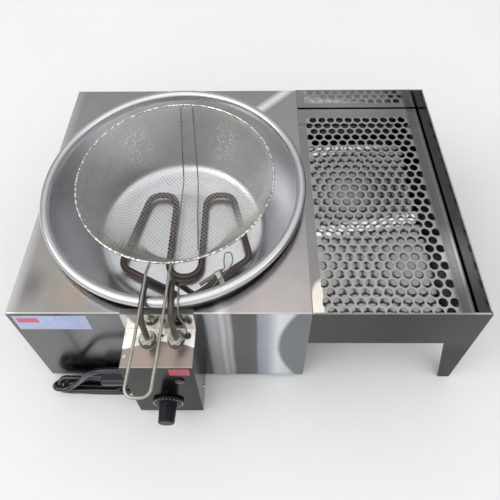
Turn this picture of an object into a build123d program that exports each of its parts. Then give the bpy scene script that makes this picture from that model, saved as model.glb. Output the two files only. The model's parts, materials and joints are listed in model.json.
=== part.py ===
from build123d import *
import math
import os

# Countertop electric deep fryer: a sheet-steel casing that holds a round aluminium pot, a control box with an
# immersion heating element hooked over the casing's front edge, a wire basket, and a draining tray on the right.
#
# Everything is drawn in the casing's frame: origin at the middle of the casing's front top edge, +X right,
# +Y towards the back, +Z up.  save() moves each piece to the part's own frame, whose origin is the middle of
# the whole object's footprint at table level.

# ---------------------------------------------------------------- driving dimensions (mm)
CASE_W = 400.0          # casing, left to right
CASE_D = 424.0          # casing, front to back
CASE_H = 222.0          # casing, without its feet
FOOT_H = 8.0
SHEET = 1.0             # stainless sheet of the casing and tray
TRAY_W = 232.6          # draining tray, from the casing's right side
APRON_H = 95.0          # height of the tray's walls
LEG_TOP_W = 41.0        # tray leg where it leaves the apron
LEG_FOOT_W = 18.0       # tray leg at the floor

POT_X, POT_Y = 3.0, 199.5
POT_FLOOR_Z = -120.0    # inner floor
POT_FLOOR_R = 135.0     # where the wall would meet the floor without its rounded corner
POT_CORNER_R = 22.0
POT_RIM_R = 186.0       # inner radius of the wall at the rim
POT_WALL = 2.0
BEAD_R = 7.0            # rolled bead round the rim
BEAD_Z = 20.0

BOX_L, BOX_R = -50.0, 46.0     # control box, left and right faces
BOX_D = 53.0                   # how far its front stands out from the casing
BOX_TOP = -41.0
BOX_FOOT = -CASE_H

LEG_XS = (-17.0, 21.0)         # the element's two legs, at the box
LEG_Y = -17.0
LEG_R = 4.0                    # unheated legs
HEAT_R = 5.25                  # heated tube
HEAT_Z = -110.0
HUMP_Z = 31.7                  # centre line of the legs over the pot's bead

BASKET_X, BASKET_Y = 3.0, 214.0
BASKET_R = 152.0               # ring, centre line
BASKET_Z = 20.0
BASKET_FLOOR_Z = -103.3
BASKET_FLOOR_R = 80.0
RING_WIRE_R = 1.6
HANDLE_WIRE_R = 2.0
HANDLE_Z = 38.2
HANDLE_REACH = 112.0           # front of the handle, ahead of the casing

KNOB_X, KNOB_Z = -1.5, -172.0
CORD_D = 7.5
GLAND_Z = -130.0
GLAND_Y = -26.0

GAP = 0.4                      # between pieces that lift apart
FLOOR_Z = -CASE_H - FOOT_H     # table level in the casing's frame

# origin of the written part: middle of the footprint, table level
TO_PART = Pos(-TRAY_W / 2, -(CASE_D - HANDLE_REACH) / 2, -FLOOR_Z)


# ---------------------------------------------------------------- helpers
STANDING = (Align.CENTER, Align.CENTER, Align.MIN)     # a primitive that stands on its plane


def save(name, *solids):
    """Write one node: its solids moved to the part's frame."""
    moved = []
    for piece in solids:
        moved += [TO_PART * solid for solid in piece.solids()]
    shape = moved[0] if len(moved) == 1 else Compound(children=moved)
    export_step(shape, "parts/" + name + ".step")


def slab(x0, x1, y0, y1, z0, z1):
    """A block between two corners."""
    return Pos((x0 + x1) / 2, (y0 + y1) / 2, (z0 + z1) / 2) * Box(x1 - x0, y1 - y0, z1 - z0)


def rod(radius, start, end):
    """A round bar from one point to another."""
    axis = Vector(*end) - Vector(*start)
    return Plane(origin=start, z_dir=axis) * Cylinder(radius, axis.length, align=STANDING)


def tube(points, radius, bends):
    """A round bar along straight runs joined by tangent arcs."""
    path = FilletPolyline(*points, radius=bends)
    return sweep(Plane(path @ 0, z_dir=path % 0) * Circle(radius), path)


def turned(points, x=0.0, y=0.0):
    """A solid of revolution about a vertical axis, from (radius, height) points."""
    face = Plane.XZ * Polygon(*points, align=None)
    return Pos(x, y, 0) * revolve(face, Axis.Z)


def screw(x, y, z, axis, head_r, head_h, shank_r, shank_l):
    """A domed screw whose head sits on the plane at (x, y, z) and points along axis."""
    place = Plane(origin=(x, y, z), z_dir=axis)
    head = Cylinder(head_r, head_h, align=STANDING)
    head = fillet(head.edges().sort_by(Axis.Z)[-1], head_h * 0.6)
    slot = Pos(0, 0, head_h) * (Box(head_r * 1.3, 0.8, 1.0) + Box(0.8, head_r * 1.3, 1.0))
    shank = Pos(0, 0, -shank_l) * Cylinder(shank_r, shank_l, align=STANDING)
    return place * (head - slot + shank)


# ---------------------------------------------------------------- casing
FOOT_XS = (-170.0, 170.0)
FOOT_YS = (11.5, CASE_D - 16.0)
FOOT_SPOTS = [(x, y) for x in FOOT_XS for y in FOOT_YS]
BEND_R = 2.5
FLANGE = 30.0                  # the wrap's inward flanges that carry the feet
TRAY_BOLT_SPOTS = [(y, z) for y in (60.0, 360.0) for z in (-22.0, -74.0)]
TRAY_BOLT_R = 2.5

lean = math.atan2(POT_RIM_R - POT_FLOOR_R, BEAD_Z - BEAD_R - POT_FLOOR_Z)
wall_across = POT_WALL / math.cos(lean)


def pot_inner_r(z):
    """Inner radius of the pot's cone at a height."""
    return POT_FLOOR_R + (z - POT_FLOOR_Z) * math.tan(lean)


POT_HOLE_R = pot_inner_r(0.0) + wall_across + 0.4


def casing_wrap():
    """One sheet folded down at the front and the back, with a round hole for the pot."""
    half = CASE_W / 2 - SHEET
    outer = slab(-half, half, 0, CASE_D, -CASE_H, 0)
    outer = fillet(outer.edges().filter_by(Axis.X).group_by(Axis.Z)[-1], BEND_R)
    inner = slab(-half, half, SHEET, CASE_D - SHEET, -CASE_H, -SHEET)
    inner = fillet(inner.edges().filter_by(Axis.X).group_by(Axis.Z)[-1], BEND_R - SHEET)
    wrap = outer - inner
    wrap += slab(-half, half, SHEET / 2, FLANGE, -CASE_H, -CASE_H + SHEET)
    wrap += slab(-half, half, CASE_D - FLANGE, CASE_D - SHEET / 2, -CASE_H, -CASE_H + SHEET)
    wrap -= Pos(POT_X, POT_Y, 0) * Cylinder(POT_HOLE_R, 20)
    for x, y in FOOT_SPOTS:
        wrap -= Pos(x, y, -CASE_H) * Cylinder(2.2, 10)
    return wrap


def casing_side(outside, sign):
    """A flat side panel with narrow flanges against the wrap's front and back."""
    inside = outside - sign * SHEET
    low, high = min(inside, outside), max(inside, outside)
    panel = slab(low, high, 0.3, CASE_D - 0.3, -CASE_H, -0.2)
    tip = inside - sign * 12.0
    x0, x1 = min(tip, inside), max(tip, inside)
    for y0 in (SHEET + 0.1, CASE_D - 2 * SHEET - 0.1):
        panel += slab(x0, x1, y0, y0 + SHEET, -CASE_H + 2.0, -4.0)
    return panel


def foot(x, y):
    """A tapered rubber foot with a blind hole for its screw."""
    body = turned([(0, FLOOR_Z), (8.5, FLOOR_Z), (10.5, -CASE_H), (0, -CASE_H)], x, y)
    return body - Pos(x, y, -CASE_H - 2.5) * Cylinder(2.05, 5.2)


os.makedirs("parts", exist_ok=True)
save("casing_wrap", casing_wrap())
save("casing_left_panel", casing_side(-CASE_W / 2, -1))
right_panel = casing_side(CASE_W / 2, 1)
for y, z in TRAY_BOLT_SPOTS:
    right_panel -= rod(TRAY_BOLT_R + 0.1, (CASE_W / 2 - 5, y, z), (CASE_W / 2 + 5, y, z))
save("casing_right_panel", right_panel)
save("feet", *[foot(x, y) for x, y in FOOT_SPOTS])
foot_screws = [screw(x, y, -CASE_H + SHEET, (0, 0, 1), 4.0, 2.2, 2.0, 5.5) for x, y in FOOT_SPOTS]
save("foot_screws", *foot_screws)
save("rating_label", slab(-194.0, -96.0, -0.3, 0.0, -47.5, -6.2))

# ---------------------------------------------------------------- draining tray frame
TRAY_L = CASE_W / 2 + 0.3      # left wall, just clear of the casing
TRAY_R = CASE_W / 2 + TRAY_W
HEM_T, HEM_H = 1.2, 12.0       # folded top edge
LEDGE = 16.0                   # inward flanges that carry the drip pan


def apron_across(y_out, sign):
    """Front or back apron: plate, hem, ledge and the tapered leg at its right end."""
    inner = y_out + sign * SHEET

    def band(x0, x1, ya, yb, z0, z1):
        return slab(x0, x1, min(ya, yb), max(ya, yb), z0, z1)

    plate = band(TRAY_L, TRAY_R, y_out, inner, -APRON_H, 0)
    plate += band(TRAY_L + 2, TRAY_R - 3, inner, inner + sign * HEM_T, -HEM_H, 0)
    plate += band(TRAY_L + 2, TRAY_R - 3, inner, inner + sign * LEDGE, -APRON_H, -APRON_H + SHEET)
    outline = [
        (TRAY_R - LEG_TOP_W, -APRON_H),
        (TRAY_R - LEG_FOOT_W, FLOOR_Z),
        (TRAY_R, FLOOR_Z),
        (TRAY_R, -APRON_H),
    ]
    leg = Plane.XZ.offset(-inner if sign > 0 else -y_out) * Polygon(*outline, align=None)
    return plate + extrude(leg, SHEET)


def apron_right():
    """Right apron with a tapered leg tab at each end, making angle legs with the front and back."""
    x0, x1 = TRAY_R - SHEET, TRAY_R
    y0, y1 = SHEET + 0.05, CASE_D - SHEET - 0.05
    plate = slab(x0, x1, y0, y1, -APRON_H, 0)
    plate += slab(x0 - HEM_T, x0, y0 + 2, y1 - 2, -HEM_H, 0)
    for edge, sign in ((y0, 1), (y1, -1)):
        outline = [
            (edge, -APRON_H),
            (edge, FLOOR_Z),
            (edge + sign * LEG_FOOT_W, FLOOR_Z),
            (edge + sign * LEG_TOP_W, -APRON_H),
        ]
        plate += extrude(Plane.YZ.offset(x0) * Polygon(*outline, align=None), SHEET, dir=(1, 0, 0))
    return plate


def tray_left_wall():
    """Plain wall bolted to the casing's side."""
    wall = slab(TRAY_L, TRAY_L + SHEET, SHEET + 0.05, CASE_D - SHEET - 0.05, -APRON_H + SHEET + 0.05, 0)
    for y, z in TRAY_BOLT_SPOTS:
        wall -= rod(TRAY_BOLT_R + 0.1, (TRAY_L - 5, y, z), (TRAY_L + 5, y, z))
    return wall


front_apron = apron_across(0.0, 1)
front_apron -= slab(TRAY_L, TRAY_L + SHEET + 0.1, SHEET, LEDGE + 5, -APRON_H + SHEET, 1)
save("tray_front_apron", front_apron)
save("tray_back_apron", apron_across(CASE_D, -1))
save("tray_right_apron", apron_right())
save("tray_left_wall", tray_left_wall())
bolt_seat = TRAY_L + SHEET
bolts = [screw(bolt_seat, y, z, (1, 0, 0), 4.5, 1.8, TRAY_BOLT_R, 9.0) for y, z in TRAY_BOLT_SPOTS]
save("tray_bolts", *bolts)


def nut_on_x(x, y, z, across, height, bore):
    """A hexagon nut with its axis along X, starting at x and running to lower x."""
    hexagon = Plane(origin=(x, y, z), z_dir=(-1, 0, 0)) * RegularPolygon(across / math.sqrt(3), 6)
    return extrude(hexagon, height) - rod(bore, (x - height - 1, y, z), (x + 1, y, z))


nuts = [nut_on_x(CASE_W / 2 - SHEET, y, z, 8.0, 4.0, TRAY_BOLT_R) for y, z in TRAY_BOLT_SPOTS]
save("tray_nuts", *nuts)

# ---------------------------------------------------------------- drip pan and perforated insert
PAN_L, PAN_R = TRAY_L + 5.0, TRAY_R - 5.0
PAN_F, PAN_B = 5.0, CASE_D - 5.0
PAN_LOW = -APRON_H + SHEET + GAP
PAN_TOP = -53.4
PAN_T = 0.8
SHEET_Z = -54.0                # underside of the perforated sheet
BORDER = 17.0                  # plain frame round the holes
HOLE_R = 6.8
HOLE_PITCH = 16.5
ROW_PITCH = HOLE_PITCH * math.sqrt(3) / 2


def drip_pan():
    """A shallow pan with rounded upright corners that rests on the aprons' ledges."""
    outer = slab(PAN_L, PAN_R, PAN_F, PAN_B, PAN_LOW, PAN_TOP)
    outer = fillet(outer.edges().filter_by(Axis.Z), 8.0)
    inner = slab(PAN_L + PAN_T, PAN_R - PAN_T, PAN_F + PAN_T, PAN_B - PAN_T, PAN_LOW + PAN_T, 0)
    inner = fillet(inner.edges().filter_by(Axis.Z), 8.0 - PAN_T)
    return outer - inner


def insert_frame():
    """Plain border that lies on the perforated sheet and turns up at its outer edge."""
    x0, x1, y0, y1 = TRAY_L + 3.5, TRAY_R - 3.5, 3.5, CASE_D - 3.5
    low = SHEET_Z + SHEET
    frame = slab(x0, x1, y0, y1, low, low + 6.0)
    frame -= slab(x0 + SHEET, x1 - SHEET, y0 + SHEET, y1 - SHEET, low + SHEET, low + 20)
    frame -= slab(x0 + BORDER, x1 - BORDER, y0 + BORDER, y1 - BORDER, low - 1, low + 20)
    return frame


def perforated_sheet():
    """A flat sheet with staggered rows of round holes that run on under the border."""
    x0, x1, y0, y1 = TRAY_L + 11.0, TRAY_R - 11.0, 11.0, CASE_D - 11.0
    margin = HOLE_R + 1.4
    mid_x = (x0 + x1) / 2
    rows = int((y1 - y0 - 2 * margin) / ROW_PITCH) + 1
    first_y = (y0 + y1) / 2 - (rows - 1) / 2 * ROW_PITCH
    holes = []
    for row in range(rows):
        shift = HOLE_PITCH / 2 if row % 2 else 0.0
        for column in range(-8, 9):
            x = mid_x + column * HOLE_PITCH + shift
            if x0 + margin <= x <= x1 - margin:
                holes.append(Pos(x, first_y + row * ROW_PITCH) * Circle(HOLE_R))
    face = Pos(mid_x, (y0 + y1) / 2) * Rectangle(x1 - x0, y1 - y0)
    return Pos(0, 0, SHEET_Z) * extrude(face - holes, SHEET)


save("drip_pan", drip_pan())
save("insert_frame", insert_frame())
save("perforated_sheet", perforated_sheet())


# ---------------------------------------------------------------- pot
def frying_pot():
    """A tapered aluminium pot with a rounded bottom corner and an open rolled bead."""
    under = POT_FLOOR_Z - POT_WALL
    outer_foot = POT_FLOOR_R + wall_across - POT_WALL * math.tan(lean)
    neck_z = BEAD_Z - BEAD_R
    wall = Polygon(
        (0, POT_FLOOR_Z), (POT_FLOOR_R, POT_FLOOR_Z), (POT_RIM_R, neck_z), (POT_RIM_R, BEAD_Z),
        (POT_RIM_R + POT_WALL, BEAD_Z), (POT_RIM_R + wall_across, neck_z), (outer_foot, under), (0, under),
        align=None,
    )
    corners = [v for v in wall.vertices() if 100 < v.X < 150]
    corners.sort(key=lambda v: v.Y)
    wall = fillet(corners[0], POT_CORNER_R + POT_WALL)
    inner_corner = [v for v in wall.vertices() if abs(v.X - POT_FLOOR_R) < 0.1 and abs(v.Y - POT_FLOOR_Z) < 0.1]
    wall = fillet(inner_corner, POT_CORNER_R)
    bead_at = Pos(POT_RIM_R + BEAD_R + 0.05, BEAD_Z)
    bead = bead_at * (Circle(BEAD_R) - Circle(BEAD_R - POT_WALL))
    opening = bead_at * Polygon((0, -0.5), (-20, -0.5), (-20, -20), (3, -20), align=None)
    shell = revolve(Plane.XZ * wall, Axis.Z) + revolve(Plane.XZ * (bead - opening), Axis.Z)
    return Pos(POT_X, POT_Y, 0) * shell


save("frying_pot", frying_pot())

# ---------------------------------------------------------------- control box
BOX_FRONT = -BOX_D
BACK_PLATE_Y = -GAP            # rear face of the back plate
PLATE_T = 1.2
SHELL_T = 1.0
FRONT_T = 1.2
HOOK_REACH = 6.0
SMALL_HOLE = (2.0, -11.5)
GROMMET_XY = (36.0, -12.0)
TOP_SCREW = (-44.5, -38.0)
SIDE_SCREW_YZ = (-26.0, -196.0)
LAMP_X, LAMP_Z = 24.0, -88.0
LAMP_R = 5.0
SHAFT_R = 3.0
TERMINAL_X, TERMINAL_Z = -4.0, -122.0


def control_back_plate():
    """Back plate that rises above the box and folds over the casing's top front edge."""
    y0, y1 = BACK_PLATE_Y - PLATE_T, BACK_PLATE_Y
    plate = slab(BOX_L, BOX_R, y0, y1, BOX_FOOT, GAP + PLATE_T)
    plate += slab(BOX_L, BOX_R, y0, HOOK_REACH, GAP, GAP + PLATE_T)
    corner = [e for e in plate.edges().filter_by(Axis.X) if abs(e.center().Y - y0) < 0.01
              and e.center().Z > 0]
    return fillet(corner, 1.0)


def control_shell():
    """Folded band that makes the top, sides and bottom of the box."""
    y0, y1 = BOX_FRONT + FRONT_T, BACK_PLATE_Y - PLATE_T
    outer = slab(BOX_L, BOX_R, y0, y1, BOX_FOOT, BOX_TOP)
    outer = fillet(outer.edges().filter_by(Axis.Y), 2.0)
    inner = slab(BOX_L + SHELL_T, BOX_R - SHELL_T, y0, y1, BOX_FOOT + SHELL_T, BOX_TOP - SHELL_T)
    inner = fillet(inner.edges().filter_by(Axis.Y), 1.0)
    band = outer - inner
    for x in LEG_XS:
        band -= Pos(x, LEG_Y, BOX_TOP) * Cylinder(8.1, 6)
    band -= Pos(*SMALL_HOLE, BOX_TOP) * Cylinder(1.8, 6)
    band -= Pos(*GROMMET_XY, BOX_TOP) * Cylinder(2.6, 6)
    band -= Pos(*TOP_SCREW, BOX_TOP) * Cylinder(1.6, 6)
    for x in (BOX_L, BOX_R):
        band -= rod(1.6, (x - 3, *SIDE_SCREW_YZ), (x + 3, *SIDE_SCREW_YZ))
    band -= rod(6.1, (BOX_L - 3, GLAND_Y, GLAND_Z), (BOX_L + 3, GLAND_Y, GLAND_Z))
    return band


def control_front_panel():
    """Front panel with rounded edges, a lamp hole and a shaft hole."""
    panel = slab(BOX_L, BOX_R, BOX_FRONT, BOX_FRONT + FRONT_T, BOX_FOOT, BOX_TOP)
    panel = fillet(panel.edges().filter_by(Axis.Y), 2.0)
    panel = fillet(panel.faces().sort_by(Axis.Y)[0].edges(), 0.7)
    panel -= rod(LAMP_R + 0.1, (LAMP_X, BOX_FRONT - 2, LAMP_Z), (LAMP_X, BOX_FRONT + 4, LAMP_Z))
    panel -= rod(5.0, (KNOB_X, BOX_FRONT - 2, KNOB_Z), (KNOB_X, BOX_FRONT + 4, KNOB_Z))
    return panel


save("control_back_plate", control_back_plate())
save("control_shell", control_shell())
save("control_front_panel", control_front_panel())
cover_screws = [
    screw(*TOP_SCREW, BOX_TOP, (0, 0, 1), 2.8, 1.6, 1.5, 6.0),
    screw(BOX_L, *SIDE_SCREW_YZ, (-1, 0, 0), 2.8, 1.6, 1.5, 6.0),
    screw(BOX_R, *SIDE_SCREW_YZ, (1, 0, 0), 2.8, 1.6, 1.5, 6.0),
]
save("cover_screws", *cover_screws)
save("voltage_label", slab(13.0, 40.0, BOX_FRONT - 0.3, BOX_FRONT, -67.0, -45.0))


def hexagon_nut(x, y, z, across, height, bore):
    """A hexagon nut on a vertical axis with a round bore and softened corners."""
    nut = extrude(Pos(x, y, z) * RegularPolygon(across / math.sqrt(3), 6), height)
    nut &= turned([(0, z - 1), (across * 0.56, z - 1), (across * 0.56, z + height - 1.2),
                   (across * 0.5, z + height), (0, z + height)], x, y)
    return nut - Pos(x, y, z) * Cylinder(bore, 4 * height)


GASKET_H = 2.0
NUT_H = 7.0


def element_bushing(x):
    """A threaded bush that carries one leg through the top of the box."""
    low, high = BOX_TOP - 9.0, BOX_TOP + GASKET_H + NUT_H + 3.0
    bush = turned([(LEG_R, low), (8.0, low), (8.0, high - 2.5), (6.6, high), (LEG_R, high)], x, LEG_Y)
    return bush


save("element_gaskets", *[Pos(x, LEG_Y, BOX_TOP + GASKET_H / 2) * (Cylinder(11.5, GASKET_H)
                          - Cylinder(8.0, 4 * GASKET_H)) for x in LEG_XS])
save("element_nuts", *[hexagon_nut(x, LEG_Y, BOX_TOP + GASKET_H, 19.0, NUT_H, 8.0) for x in LEG_XS])
save("element_lock_nuts", *[hexagon_nut(x, LEG_Y, BOX_TOP - SHELL_T - 4.5, 19.0, 4.5, 8.0) for x in LEG_XS])
save("element_bushings", *[element_bushing(x) for x in LEG_XS])

# ---------------------------------------------------------------- heating element
ELEMENT_MID_X = 12.3
LEG_END_Z = -64.0
OVER_Y = 32.0                  # where each leg starts down inside the pot
LEFT_HEEL = (8.0, 78.0, HEAT_Z)
RIGHT_HEEL = (32.0, 79.0, HEAT_Z)
LEFT_KNEE = (-92.0, 127.4, HEAT_Z)
RIGHT_KNEE = (117.3, 142.6, HEAT_Z)
LEG_JOINT = 26.0               # from the heel to where the heated tube starts


def along(start, end, distance):
    """The point at a distance from start towards end."""
    step = (Vector(*end) - Vector(*start)).normalized() * distance
    here = Vector(*start) + step
    return (here.X, here.Y, here.Z)


def element_leg(x, crest_x, heel, knee):
    """Unheated leg: up from the box, over the bead, down the pot's wall, out along the floor."""
    points = [
        (x, LEG_Y, LEG_END_Z),
        (x, LEG_Y, HUMP_Z),
        (crest_x, OVER_Y, HUMP_Z),
        heel,
        along(heel, knee, LEG_JOINT),
    ]
    return tube(points, LEG_R, [21.0, 18.0, 14.0])


def heating_element():
    """Heated tube: two upright hairpins side by side, joined by a bend at the front."""
    top_y, low_y = 267.0, 109.0
    left_in, right_in = ELEMENT_MID_X - 26.0, ELEMENT_MID_X + 26.0
    left_out, right_out = ELEMENT_MID_X - 72.5, ELEMENT_MID_X + 72.5
    points = [
        along(LEFT_HEEL, LEFT_KNEE, LEG_JOINT),
        LEFT_KNEE,
        (left_out, top_y, HEAT_Z),
        (left_in, top_y, HEAT_Z),
        (left_in, low_y, HEAT_Z),
        (right_in, low_y, HEAT_Z),
        (right_in, top_y, HEAT_Z),
        (right_out, top_y, HEAT_Z),
        RIGHT_KNEE,
        along(RIGHT_HEEL, RIGHT_KNEE, LEG_JOINT),
    ]
    return tube(points, HEAT_R, [20.0, 22.0, 22.5, 24.0, 24.0, 22.5, 22.0, 18.0])


save("element_leg_left", element_leg(LEG_XS[0], -15.5, LEFT_HEEL, LEFT_KNEE))
save("element_leg_right", element_leg(LEG_XS[1], 18.5, RIGHT_HEEL, RIGHT_KNEE))
save("heating_element", heating_element())

# ---------------------------------------------------------------- thermostat, its bulb and capillary
BULB_R = 3.0
BULB_Z = -105.0
BULB_OFF = 7.2                 # bulb's axis behind the heated run's axis
run_dir = (Vector(*RIGHT_KNEE) - Vector(*RIGHT_HEEL)).normalized()
run_back = Vector(-run_dir.Y, run_dir.X, 0)


def by_run(distance, off, z):
    """A point beside the right-hand heated run: along it from its heel, and off it towards the back."""
    here = Vector(*RIGHT_HEEL) + run_dir * distance + run_back * off
    return (here.X, here.Y, z)


BULB_START, BULB_END = 14.0, 56.0
CLIP_AT = 46.0
CAPILLARY_R = 1.0

bulb = rod(BULB_R, by_run(BULB_START, BULB_OFF, BULB_Z), by_run(BULB_END, BULB_OFF, BULB_Z))
bulb = fillet(bulb.edges(), 1.6)
save("thermostat_bulb", bulb)


def bulb_clip():
    """A strap round the bulb and the heated run, with two ears for a screw."""
    across = Plane(origin=by_run(CLIP_AT - 4.0, 0, HEAT_Z), x_dir=run_back, z_dir=run_dir)
    tilt = math.degrees(math.atan2(BULB_Z - HEAT_Z, BULB_OFF))
    reach = math.hypot(BULB_OFF, BULB_Z - HEAT_Z)
    hull = make_hull([*Circle(HEAT_R + 1.0).edges(), *(Pos(reach, 0) * Circle(BULB_R + 1.0)).edges()])
    core = make_hull([*Circle(HEAT_R + 0.1).edges(), *(Pos(reach, 0) * Circle(BULB_R + 0.1)).edges()])
    ears = Pos(-HEAT_R - 4.0, 0) * Rectangle(8.0, 2.4)
    strap = Rot(0, 0, tilt) * (hull + ears - core)
    band = extrude(across * strap, 8.0)
    hole_at = by_run(CLIP_AT, 0, HEAT_Z)
    ear_mid = Vector(*hole_at) - (run_back * math.cos(math.radians(tilt))
                                  + Vector(0, 0, math.sin(math.radians(tilt)))) * (HEAT_R + 5.0)
    through = (run_back * -math.sin(math.radians(tilt)) + Vector(0, 0, math.cos(math.radians(tilt))))
    cut = rod(1.6, tuple(ear_mid - through * 4), tuple(ear_mid + through * 4))
    head = screw(*(ear_mid + through * 1.2), tuple(through), 2.6, 1.6, 1.5, 4.4)
    return band - cut, head


clip, clip_screw = bulb_clip()
save("bulb_clip", clip)
save("bulb_clip_screw", clip_screw)

capillary = [
    (*GROMMET_XY, -60.0),
    (*GROMMET_XY, -8.0),
    (29.5, -12.0, 22.0),
    (29.0, 2.0, 34.0),
    (28.5, 24.0, 33.0),
    (31.5, 37.0, 8.0),
    (37.5, 56.0, -60.0),
    (47.0, 72.0, -99.0),
    by_run(40.0, -6.0, -99.0),
    by_run(64.0, -1.0, -99.0),
    by_run(78.0, 7.0, -99.0),
    by_run(84.0, 22.0, -99.5),
    by_run(76.0, 28.0, -100.5),
    by_run(66.0, 17.0, -103.0),
    by_run(61.0, BULB_OFF, BULB_Z),
    by_run(BULB_END, BULB_OFF, BULB_Z),
]


def even_bends(points, share=0.45):
    """The largest tangent radius that each corner's shorter run allows."""
    radii = []
    for before, here, after in zip(points, points[1:], points[2:]):
        run_in = Vector(*here) - Vector(*before)
        run_out = Vector(*after) - Vector(*here)
        half_turn = math.radians(run_in.get_angle(run_out)) / 2
        radii.append(share * min(run_in.length, run_out.length) / math.tan(half_turn))
    return radii


save("capillary_tube", tube(capillary, CAPILLARY_R, even_bends(capillary, 0.42)))
save("capillary_grommet", Pos(*GROMMET_XY, 0) * turned([(1.05, BOX_TOP - 2.5), (4.0, BOX_TOP - 2.5),
     (4.0, BOX_TOP - 1.05), (2.5, BOX_TOP - 1.05), (2.5, BOX_TOP + 0.05), (4.2, BOX_TOP + 0.05),
     (4.2, BOX_TOP + 2.2), (1.05, BOX_TOP + 2.2)]))

THERMO_Y0 = BOX_FRONT + FRONT_T    # front of the thermostat's bush, against the panel
THERMO_Y1 = -24.0
thermo = rod(21.0, (KNOB_X, -44.0, KNOB_Z), (KNOB_X, THERMO_Y1, KNOB_Z))
thermo += slab(KNOB_X - 18, KNOB_X + 18, -45.5, -44.0, KNOB_Z - 14, KNOB_Z + 14)
thermo += rod(8.0, (KNOB_X, THERMO_Y0, KNOB_Z), (KNOB_X, -44.0, KNOB_Z))
thermo -= rod(SHAFT_R + 0.06, (KNOB_X, THERMO_Y0 - 1, KNOB_Z), (KNOB_X, -36.0, KNOB_Z))
save("thermostat_body", thermo)

# ---------------------------------------------------------------- knob and its shaft
SKIRT_R = 22.5
GRIP_R = 12.5
KNOB_BACK = BOX_FRONT - 0.8
KNOB_TIP = BOX_FRONT - 30.6


def knob():
    """Dial knob: a wide skirt with a raised rim of ticks, and a fluted grip with a flat pointer."""
    facing = Plane(origin=(KNOB_X, KNOB_BACK, KNOB_Z), x_dir=(1, 0, 0), z_dir=(0, -1, 0))
    skirt = Cylinder(SKIRT_R, 5.0, align=STANDING)
    skirt = chamfer(skirt.edges().sort_by(Axis.Z)[-1], 3.2, 5.5)
    length = KNOB_BACK - KNOB_TIP
    grip = Cone(GRIP_R + 0.6, GRIP_R - 0.8, length, align=STANDING)
    grip = fillet(grip.edges().sort_by(Axis.Z)[-1], 1.6)
    flutes = [Pos(0, 0, 7.0) * (Rot(0, 0, 30.0 * i) * (Pos(GRIP_R + 1.4, 0, 0)
              * Cylinder(1.8, length, align=STANDING))) for i in range(12)]
    grip -= flutes
    body = skirt + grip
    bore = Cylinder(SHAFT_R, 14.0, align=STANDING)
    return facing * (body - bore)


save("thermostat_knob", knob())
save("thermostat_shaft", rod(SHAFT_R, (KNOB_X, KNOB_BACK - 14.0, KNOB_Z), (KNOB_X, -37.0, KNOB_Z)))

# ---------------------------------------------------------------- lamp, terminals, wires
lamp_front = BOX_FRONT
bezel = rod(6.4, (LAMP_X, lamp_front, LAMP_Z), (LAMP_X, lamp_front - 2.0, LAMP_Z))
bezel += rod(LAMP_R, (LAMP_X, lamp_front + 16.0, LAMP_Z), (LAMP_X, lamp_front, LAMP_Z))
bezel -= rod(4.0, (LAMP_X, lamp_front + 1.0, LAMP_Z), (LAMP_X, lamp_front - 4.0, LAMP_Z))
save("lamp_bezel", bezel)
lens = Pos(LAMP_X, lamp_front - 1.4, LAMP_Z) * (Rot(90, 0, 0) * Cylinder(4.0, 4.8))
lens = fillet(lens.edges().sort_by(Axis.Y)[0], 2.4)
save("lamp_lens", lens)

terminal = slab(TERMINAL_X - 18, TERMINAL_X + 18, -20.0, BACK_PLATE_Y - PLATE_T, TERMINAL_Z - 9, TERMINAL_Z + 9)
for i in range(3):
    x = TERMINAL_X - 12 + 12 * i
    terminal -= rod(2.4, (x, -24, TERMINAL_Z + 4), (x, -14, TERMINAL_Z + 4))
save("terminal_block", terminal)

WIRE_R = 1.3
wires = []
for x, bow, port in ((LEG_XS[0], -30.0, -12.0), (LEG_XS[1], -32.0, 12.0)):
    wires.append(tube([(x, LEG_Y, LEG_END_Z), (x, LEG_Y, -80.0), (TERMINAL_X + port, bow, -100.0),
                       (TERMINAL_X + port, bow, TERMINAL_Z + 4.0), (TERMINAL_X + port, -20.0, TERMINAL_Z + 4.0)],
                      WIRE_R, 3.0))
wires.append(tube([(TERMINAL_X, -20.0, TERMINAL_Z - 4), (TERMINAL_X, -34.0, TERMINAL_Z - 4),
                   (TERMINAL_X, -34.0, KNOB_Z + 21.2)], WIRE_R, 4.0))
save("internal_wires", *wires)

# ---------------------------------------------------------------- strain relief, cord, hank and plug
GLAND_TIP = BOX_L - 24.0
relief = Plane(origin=(BOX_L, GLAND_Y, GLAND_Z), z_dir=(-1, 0, 0)) * revolve(
    Plane.XZ * Polygon((0, -6), (8.5, -6), (8.5, -1.05), (6.0, -1.05), (6.0, 0.05), (8.5, 0.05), (8.5, 3),
                       (6.8, 3), (4.4, 24), (0, 24), align=None), Axis.Z)
save("strain_relief", relief)

# The cord leaves the relief to the left, sinks in one slack curve and runs into the top of its own hank.
cord_route = [
    (GLAND_TIP, GLAND_Y, GLAND_Z),
    (-97.0, -26.0, GLAND_Z),
    (-116.0, -26.0, -142.0),
    (-131.0, -25.0, -164.0),
    (-143.0, -24.0, -187.0),
    (-158.0, -25.0, -205.0),
]
cord_radii = even_bends(cord_route)
cord = tube(cord_route, CORD_D / 2, cord_radii)
save("power_cord", cord)
cord_path = FilletPolyline(*cord_route, radius=cord_radii)
print("cord radii", [round(r, 1) for r in cord_radii])
print("cord volume ratio", round(cord.volume / (math.pi * CORD_D**2 / 4 * cord_path.length), 4))

# The hank: the rest of the cord folded to and fro on the table, in front of the casing's left half.
HANK_L, HANK_R = -193.0, -58.0
HANK_F, HANK_B = -32.0, -4.0
HANK_LOW, HANK_TOP = FLOOR_Z + 0.2, -203.5
hank = slab(HANK_L, HANK_R, HANK_F, HANK_B, HANK_LOW, HANK_TOP)
hank = fillet(hank.edges(), 9.0)
save("cord_hank", hank)

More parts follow.
